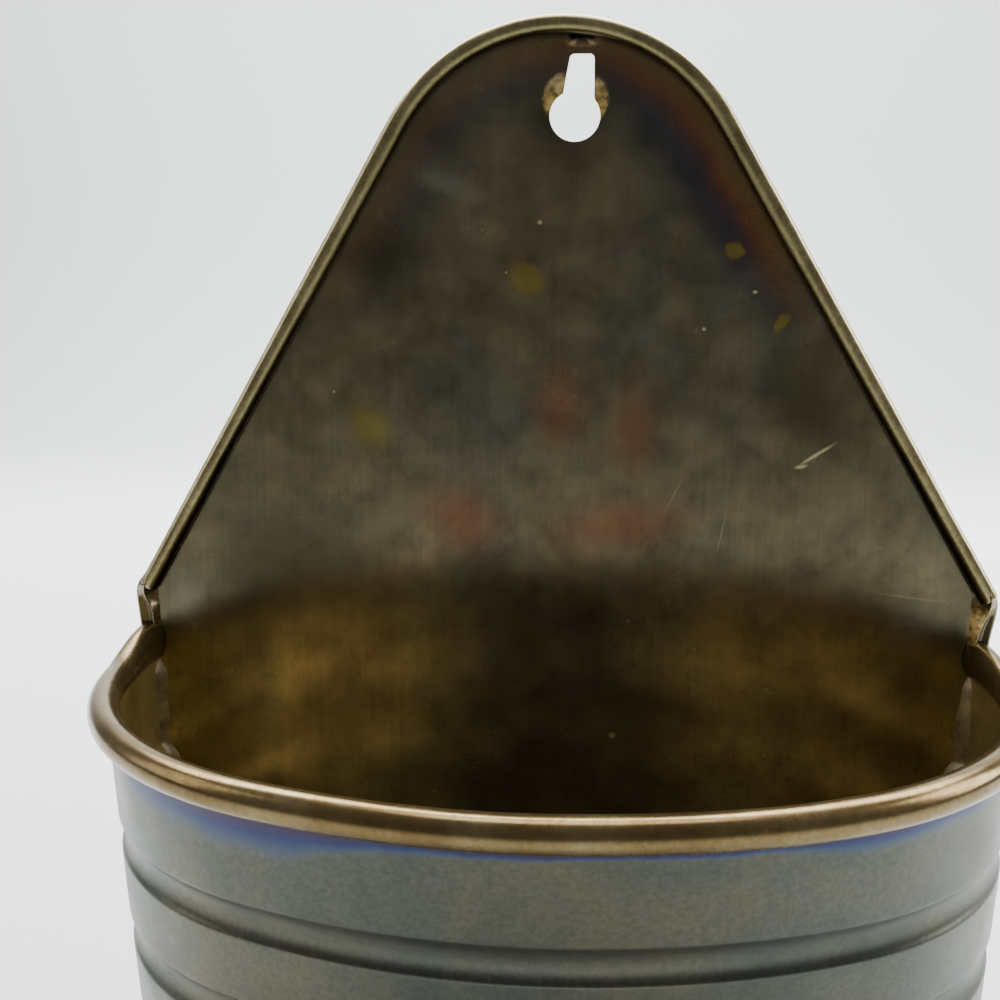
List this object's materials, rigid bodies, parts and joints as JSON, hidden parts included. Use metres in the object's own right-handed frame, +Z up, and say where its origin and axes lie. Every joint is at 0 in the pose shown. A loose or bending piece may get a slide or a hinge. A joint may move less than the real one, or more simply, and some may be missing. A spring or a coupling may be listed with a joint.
{
  "type": "wall planter",
  "caption": "Half-round wall planter of tarnished brass sheet with a ribbed, tapered pot, a rolled rim and an arched back plate with a keyhole.",
  "frame": {"origin": "centre of the bottom of the whole object's box, in the plane of the foot", "axes": "+Z up along the arched back plate; +Y towards the wall it hangs on, so the pot bows towards -Y; +X to the right as seen from the front"},
  "size_m": [0.1562, 0.0766, 0.2055],
  "materials": {
    "plate_brass": "dark bronze patina, satin",
    "wall_brass": "gunmetal tarnish over rolled brass, satin",
    "tray_brass": "dull brown tarnish",
    "steel_wire": "drawn wire",
    "solder": "dull, stained brown"
  },
  "bodies": {
    "root": {"back_plate": "plate_brass", "front_wall": "wall_brass", "bottom_tray": "tray_brass", "rim_wire": "steel_wire", "edge_wire": "steel_wire", "left_seam_solder": "solder", "right_seam_solder": "solder", "foot_seam_solder": "solder"}
  },
  "joints": []
}
